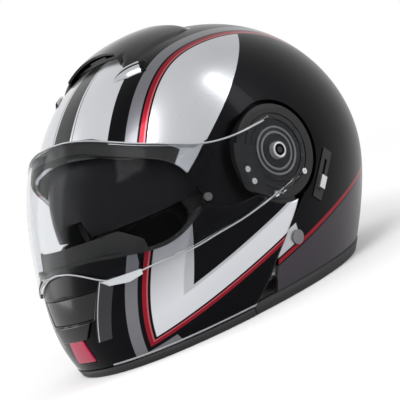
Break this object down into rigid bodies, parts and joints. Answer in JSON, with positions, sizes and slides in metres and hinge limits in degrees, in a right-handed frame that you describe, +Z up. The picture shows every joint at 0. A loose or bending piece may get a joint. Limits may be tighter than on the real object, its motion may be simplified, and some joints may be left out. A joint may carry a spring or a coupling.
{
  "type": "modular motorcycle helmet",
  "caption": "Flip-up motorcycle helmet with a hinged chin bar, clear visor, drop-down sun visor, vents, padded liner and ratchet chin strap.",
  "frame": {"origin": "on the plane of the lower rim, in the middle of the helmet's outline", "axes": "+Z up, -Y ahead of the wearer, +X to the wearer's left"},
  "size_m": [0.2628, 0.3544, 0.268],
  "materials": {
    "painted_shell": "silver, grey, black and red paint under clear coat",
    "black_gloss": "gloss black moulding",
    "silver_gloss": "silver painted moulding",
    "black_matte": "fine matt black moulding",
    "foam": "black expanded foam",
    "trim_rubber": "dark grey edge rubber",
    "seal_rubber": "black seal rubber",
    "steel": "zinc plated",
    "dark_steel": "blackened",
    "webbing": "black woven webbing",
    "pad_fabric": "black brushed lining",
    "neck_leather": "black synthetic leather",
    "lever_red": "red moulding",
    "button_red": "red moulding",
    "smoked_lens": "smoked hard-coated lens",
    "clear_lens": "clear hard-coated lens",
    "clear_tab": "clear moulding"
  },
  "bodies": {
    "shell": {"crown_shell": "painted_shell", "crown_liner": "foam", "crown_trim": "trim_rubber", "brow_seal": "seal_rubber", "brow_vent_cover": "black_gloss", "rear_spoiler": "black_gloss", "neck_outlet": "black_matte", "brow_fin_left": "silver_gloss", "brow_fin_right": "silver_gloss", "pivot_pin_left": "steel", "pivot_pin_right": "steel", "striker_left": "steel", "striker_right": "steel", "strap_rivet_left": "dark_steel", "strap_rivet_right": "dark_steel", "buckle_pin": "steel", "chin_strap_left": "webbing", "chin_strap_right": "webbing", "buckle_housing": "black_matte", "ratchet_tongue": "black_matte", "slider_track": "black_matte", "crown_pad": "pad_fabric", "cheek_pad_left": "pad_fabric", "cheek_pad_right": "pad_fabric", "neck_roll": "neck_leather", "sun_visor_pins": "black_matte"},
    "chin_bar": {"chin_bar_shell": "painted_shell", "chin_trim": "trim_rubber", "chin_bar_liner": "foam", "release_link_left": "steel", "release_link_right": "steel", "chin_scoop": "black_gloss", "breath_guard": "seal_rubber", "chin_curtain": "webbing", "chin_seal": "seal_rubber", "arm_plate_left": "dark_steel", "arm_plate_right": "dark_steel", "base_plate_left": "black_matte", "base_plate_right": "black_matte", "hub_cover_left": "black_gloss", "hub_cover_right": "black_gloss", "plate_screws_left": "steel", "plate_screws_right": "steel", "hook_pins": "steel"},
    "brow_shutter": {"brow_vent_shutter": "black_matte"},
    "sun_visor": {"sun_visor": "smoked_lens"},
    "slider": {"sun_visor_slider": "black_matte"},
    "buckle_lever": {"buckle_lever": "lever_red"},
    "vent_shutter": {"chin_vent_shutter": "black_gloss"},
    "release_button": {"release_button": "button_red"},
    "hook_left": {"latch_hook_left": "steel"},
    "hook_right": {"latch_hook_right": "steel"},
    "visor": {"visor": "clear_lens", "visor_tab": "clear_tab", "pinlock_pins": "black_matte"}
  },
  "joints": [
    {"name": "chin_hinge", "type": "hinge", "parent": "shell", "child": "chin_bar", "pos_m": [0, 0.00914, 0.122], "axis": [-1, 0, 0], "range_deg": [0, 90]},
    {"name": "visor_hinge", "type": "hinge", "parent": "chin_bar", "child": "visor", "pos_m": [0, 0.00914, 0.122], "axis": [1, 0, 0], "range_deg": [-50, 0]},
    {"name": "sun_visor_hinge", "type": "hinge", "parent": "shell", "child": "sun_visor", "pos_m": [0, -0.00586, 0.114], "axis": [-1, 0, 0], "range_deg": [0, 33]},
    {"name": "sun_slider", "type": "slide", "parent": "shell", "child": "slider", "axis": [0, 0.7071, 0.7071], "range_m": [0, 0.017]},
    {"name": "brow_shutter_slide", "type": "hinge", "parent": "shell", "child": "brow_shutter", "pos_m": [0, 0.00914, 0.122], "axis": [-1, 0, 0], "range_deg": [0, 3.2]},
    {"name": "vent_shutter_hinge", "type": "hinge", "parent": "chin_bar", "child": "vent_shutter", "pos_m": [0, -0.17194, 0.05459], "axis": [-1, 0, 0], "range_deg": [0, 3]},
    {"name": "button_slide", "type": "slide", "parent": "chin_bar", "child": "release_button", "axis": [0, 1, 0], "range_m": [0, 0.0025], "stiffness_N_per_m": 1500, "springref_m": -0.001},
    {"name": "hook_left_hinge", "type": "hinge", "parent": "chin_bar", "child": "hook_left", "pos_m": [0.101, -0.07386, 0.035], "axis": [-1, 0, 0], "range_deg": [0, 12]},
    {"name": "hook_right_hinge", "type": "hinge", "parent": "chin_bar", "child": "hook_right", "pos_m": [-0.101, -0.07386, 0.035], "axis": [-1, 0, 0], "range_deg": [0, 12]},
    {"name": "buckle_lever_hinge", "type": "hinge", "parent": "shell", "child": "buckle_lever", "pos_m": [-0.0161, -0.00286, 0.01925], "axis": [0, 1, 0], "range_deg": [0, 25], "stiffness_Nm_per_rad": 0.02, "springref_deg": -5.73}
  ],
  "couplings": [
    {"joint": "sun_slider", "follows": "sun_visor_hinge", "m_per_rad": 0.0295},
    {"joint": "hook_left_hinge", "follows": "button_slide", "rad_per_m": 83.7},
    {"joint": "hook_right_hinge", "follows": "button_slide", "rad_per_m": 83.7}
  ]
}
